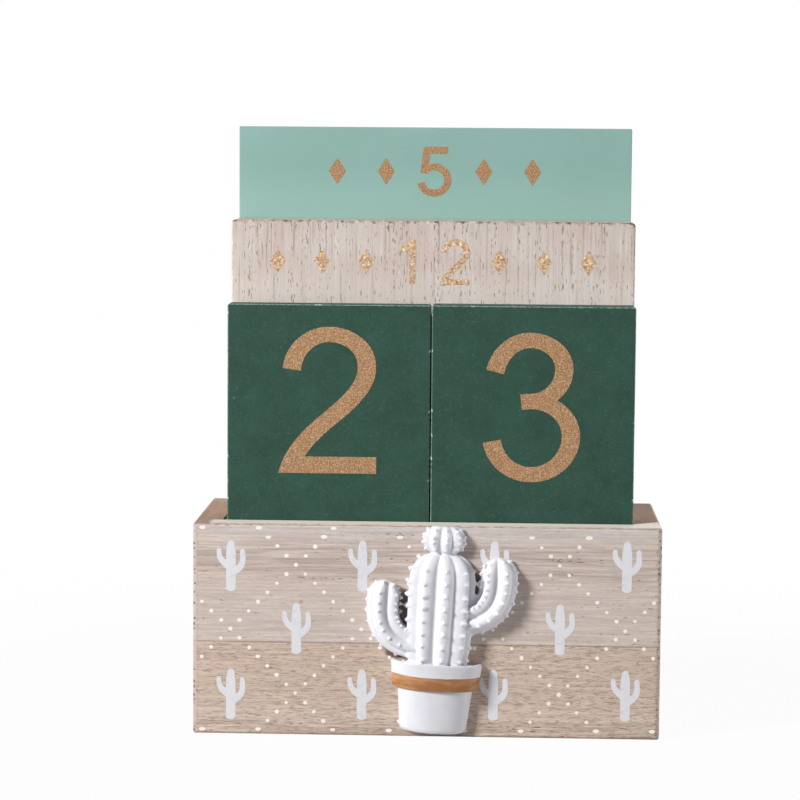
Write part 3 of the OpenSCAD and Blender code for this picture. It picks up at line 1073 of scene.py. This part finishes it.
# %% Thorns on the ribs
# The thin neck, an arm's root and most of its inner side stay bare.
THORN_H, THORN_R, THORN_ROOT = 0.8, 1.25, 0.45
THORN_PITCH, BUD_THORN_PITCH, ARM_THORN_PITCH = 4.1, 2.1, 2.9
TRUNK_SIZES, BUD_SIZES, ARM_SIZES = (0.8, 1.05), (0.62, 0.75), (0.66, 0.86)
BACK_CLEAR, THIN_TRUNK, BARE_ROOT, BARE_SHARE = 0.9, 4.8, 6.5, 0.62


def thorn(bm, at, outward, size):
    """A blunt cone with a broad foot, rooted under the skin."""
    outward = outward.normalized()
    turn = outward.to_track_quat("Z", "Y").to_matrix().to_4x4()
    depth = THORN_H * size + THORN_ROOT
    cone = bmesh.ops.create_cone(bm, cap_ends=True, segments=12, radius1=THORN_R * size,
                                 radius2=0.25 * size, depth=depth)
    base = Matrix.Translation(at - outward * THORN_ROOT) @ turn @ Matrix.Translation((0, 0, depth / 2))
    bmesh.ops.transform(bm, matrix=base, verts=cone["verts"])


def rib_angles(ribs, turn):
    """Angles of the crests from the right edge to the left one, and of both edges."""
    step = 180 / (ribs - 1)
    crests = [turn + k * step for k in range(-1, ribs + 1)]
    angles = [0] + [a for a in crests if 0.35 * step < a < 180 - 0.35 * step] + [180]
    return [math.radians(a) for a in angles]


def on_section(angle, half, relief):
    """Point of the section on a crest, kept just in front of the flat back."""
    reach = half * float(fullness(np.array(angle)))
    return reach * math.cos(angle), min(-BACK_CLEAR, -reach * relief * math.sin(angle))


def trunk_thorns(bm, rng):
    count = 0
    for angle in rib_angles(TRUNK_RIBS, TRUNK_TURN):
        heights = list(np.arange(SOIL_Z + 2.2, NECK_Z - 1.9, THORN_PITCH))
        heights += list(np.arange(NECK_Z + 1.6, BUD_TOP - 0.6, BUD_THORN_PITCH))
        for z in heights:
            z += rng.uniform(-0.45, 0.45)
            h = trunk_half_width(z)
            if h < THIN_TRUNK:
                continue
            slope = (trunk_half_width(z + 0.3) - trunk_half_width(z - 0.3)) / 0.6
            x, y = on_section(angle, h, TRUNK_RELIEF)
            thorn(bm, Vector((x, y, z)), Vector((math.cos(angle), -math.sin(angle), -0.8 * slope)),
                  rng.uniform(*(BUD_SIZES if z > NECK_Z else TRUNK_SIZES)))
            count += 1
    return count


def arm_thorns(bm, rng, side, turn, width, root_h, reach, rise):
    points = arm_curve(side, root_h, reach, rise)
    samples = [arm_frame(points, t)[0] for t in np.linspace(0, 1, 101)]
    legs = [np.linalg.norm(b - a) for a, b in zip(samples, samples[1:])]
    length = np.concatenate([[0], np.cumsum(legs)])
    count = 0
    inner = math.pi if side > 0 else 0.0
    for angle in rib_angles(ARM_RIBS, turn):
        first = BARE_SHARE * length[-1] if angle == inner else BARE_ROOT
        for s in np.arange(first, length[-1] + 0.2, ARM_THORN_PITCH):
            t = float(np.interp(s + rng.uniform(-0.4, 0.4), length, np.linspace(0, 1, 101)))
            at, along = arm_frame(points, t)
            x, y = on_section(angle, arm_half_width(min(t, 0.97), width, rise), ARM_RELIEF)
            a, o = math.cos(angle), math.sin(angle)
            tip = max(0.0, (t - 0.86) / 0.14)
            out = Vector((a * along[1] + tip * along[0], -o, -a * along[0] + tip * along[1]))
            thorn(bm, off_line(at, along, x, y), out, rng.uniform(*ARM_SIZES))
            count += 1
    return count


print("thorns stand", THORN_H, "mm high")

# %% Crumbs on the soil
POT_RELIEF = 0.56
SOIL_HALF = 13.1
SOIL_CRUMBS, CRUMB_RADII = 110, (0.5, 0.8)


def soil_crumbs(bm, rng):
    """Lumps of the crust between the cactus and the pot's lip."""
    for _ in range(SOIL_CRUMBS):
        angle = rng.uniform(0.12, math.pi - 0.12)
        reach = SOIL_HALF * rng.uniform(0.7, 0.97)
        radius = rng.uniform(*CRUMB_RADII)
        x, y = reach * math.cos(angle), -reach * POT_RELIEF * math.sin(angle)
        at = Vector((x, y, SOIL_Z + rng.uniform(0.1, 0.5)))
        bmesh.ops.create_icosphere(bm, subdivisions=1, radius=radius, matrix=Matrix.Translation(at))


print("crumbs on the soil:", SOIL_CRUMBS)

# %% Melt the forms into one casting
RESIN_WHITE = rgb(228, 228, 234)
RESIN_SHADE = rgb(221, 221, 227)
COARSE_VOXEL, FINE_VOXEL = 0.4, 0.24
CAST_SEED = 3


def clouded(place, white, shade):
    return mixed(fade(noise(place, 160.0, 3.0, 0.6), 0.35, 0.7), white, shade)


def cast_cactus():
    whole = bmesh.new()
    for rings in (trunk_rings(), arm_rings(*LEFT_ARM), arm_rings(*RIGHT_ARM)):
        add_skin(whole, rings)
    rng = random.Random(CAST_SEED)
    thorns = trunk_thorns(whole, rng)
    thorns += arm_thorns(whole, rng, *LEFT_ARM) + arm_thorns(whole, rng, *RIGHT_ARM)
    soil_crumbs(whole, rng)
    whole.transform(to_row)
    mesh = bpy.data.meshes.new("cactus_casting")
    whole.to_mesh(mesh)
    whole.free()
    material, place = new_material("cast resin")
    colour = clouded(place, RESIN_WHITE, RESIN_SHADE)
    surface(colour, 0.48, noise(place, 500.0, 3.0, 0.6), bump_mm=0.05)
    mesh.materials.append(material)
    piece = new_object("cactus_casting", mesh)
    remesh = piece.modifiers.new("melt", "REMESH")
    remesh.mode = "VOXEL"
    remesh.voxel_size = FINE_VOXEL * MM
    remesh.use_smooth_shade = True
    soften = piece.modifiers.new("soften", "SMOOTH")
    soften.factor = 0.5
    soften.iterations = 2
    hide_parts("cactus_trunk", "cactus_left_arm", "cactus_right_arm")
    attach(piece, "tray")
    return thorns


print("thorns on the casting:", cast_cactus())

# %% [markdown]
# The pot
#
# The pot keeps its own solid. Its rim is white above and gold below, and the gold was
# brushed on by hand, so its edges waver. The soil is a rough white crust.

# %% White pot with a gold band
BAND_LOW, BAND_HIGH = 14.0 * MM, 18.5 * MM
BAND_GOLD = rgb(150, 97, 52)
BAND_GOLD_LIGHT = rgb(186, 138, 90)
POT_WHITE = rgb(220, 220, 225)
POT_SHADE = rgb(213, 213, 219)


def pot_finish():
    material, place = new_material("painted pot")
    upward = (math.sin(LEAN), 0, math.cos(LEAN))
    height = calc_vector("DOT_PRODUCT", calc_vector("SUBTRACT", place, tuple(FOOT)), upward)
    waver = times(minus(noise(place, 90.0, 2.0), 0.5), 0.0014)
    above = fade(height, BAND_LOW - 0.0001, BAND_LOW + 0.0001)
    below = fade(plus(height, waver), BAND_HIGH + 0.00012, BAND_HIGH - 0.00012)
    band = times(above, below)
    white = clouded(place, POT_WHITE, POT_SHADE)
    brushed = calc_vector("MULTIPLY", place, (120.0, 120.0, 420.0))
    brushed = fade(noise(brushed, 1.0, 2.0), 0.32, 0.72)
    colour = mixed(band, white, mixed(brushed, BAND_GOLD, BAND_GOLD_LIGHT))
    roughness = fade(band, 0.0, 1.0, 0.45, 0.36)
    crust = noise(place, 900.0, 3.0, 0.7)
    upright = xyz(add(material.node_tree, "TexCoord").outputs["Normal"])[2]
    on_soil = times(fade(height, (SOIL_Z + 0.5) * MM, (SOIL_Z + 0.2) * MM), fade(upright, 0.6, 0.9))
    relief = times(crust, calc("MAXIMUM", on_soil, 0.05))
    surface(colour, roughness, relief, bump_mm=0.5)
    return material


dress("cactus_pot", pot_finish())
print("painted the pot")

# %% [markdown]
# Floor and light
#
# The object stands on a plain floor. A soft lamp ahead and to the left gives the ornament
# its form and a deep shadow to its right, a weaker one at the right glances along the
# front, one behind keeps the back board from going dull, and the world adds a little even
# light. The floor throws back less than white would, which keeps the shadows dark, yet
# camera rays see the floor and the world as white, while the shadow stays.

# %% Floor and world
FLOOR_W = 6.0
FLOOR_GREY = rgb(205, 205, 205)
PLAIN_WHITE = (1, 1, 1, 1)
NEAR_WHITE = 0.96
NEAR, FAR = 0.12, 0.36
WORLD_STRENGTH = 0.05


def white_to_rays(tree, kind, shader, share, end):
    """Ends a tree in a shader that camera, mirror and glass rays see as white, by a share."""
    rays = add(tree, "LightPath").outputs
    seen = calc("MAXIMUM", rays["Is Camera Ray"], rays["Is Glossy Ray"])
    seen = calc("MAXIMUM", seen, rays["Is Transmission Ray"])
    white = add(tree, kind, {"Color": PLAIN_WHITE}).outputs[0]
    mix = apply("MixShader", {0: times(seen, share), 1: shader.outputs[0], 2: white})[0]
    apply("Output" + end, {"Surface": mix})


floor_mesh = bpy.data.meshes.new("floor")
half = FLOOR_W / 2
corners = [(-half, -half, 0), (half, -half, 0), (half, half, 0), (-half, half, 0)]
floor_mesh.from_pydata(corners, [], [(0, 1, 2, 3)])
floor = new_object("floor", floor_mesh)
floor_material, place = new_material("white floor")
tree = floor_material.node_tree
matt = add(tree, "BsdfDiffuse", {"Color": FLOOR_GREY})
whiteness = fade(calc_vector("LENGTH", place), NEAR, FAR, NEAR_WHITE, 1.0)
white_to_rays(tree, "Emission", matt, whiteness, "Material")
floor_mesh.materials.append(floor_material)

world = bpy.data.worlds.new("studio")
bpy.context.scene.world = world
world.use_nodes = True
tree = world.node_tree
tree.nodes.clear()
even = add(tree, "Background", {"Color": PLAIN_WHITE, "Strength": WORLD_STRENGTH})
white_to_rays(tree, "Background", even, 1.0, "World")
print("floor", FLOOR_W, "m wide")

# %% Lamps
MIDDLE = Vector((0, 0, 0.09))


def soft_lamp(name, at, width, watts):
    """A square lamp that is aimed at the middle of the object."""
    data = bpy.data.lights.new(name, "AREA")
    data.shape = "SQUARE"
    data.size = width
    data.energy = watts
    lamp = new_object(name, data)
    lamp.rotation_euler = (MIDDLE - Vector(at)).to_track_quat("-Z", "Y").to_euler()
    lamp.location = at


soft_lamp("key", (-1.35, -0.95, 0.92), 0.36, 45.0)
soft_lamp("fill", (1.5, -0.12, 0.25), 0.5, 11.0)
soft_lamp("behind", (0.6, 1.3, 0.35), 0.9, 8.0)
bpy.context.scene.view_settings.view_transform = "Standard"
print("three lamps and an even world")
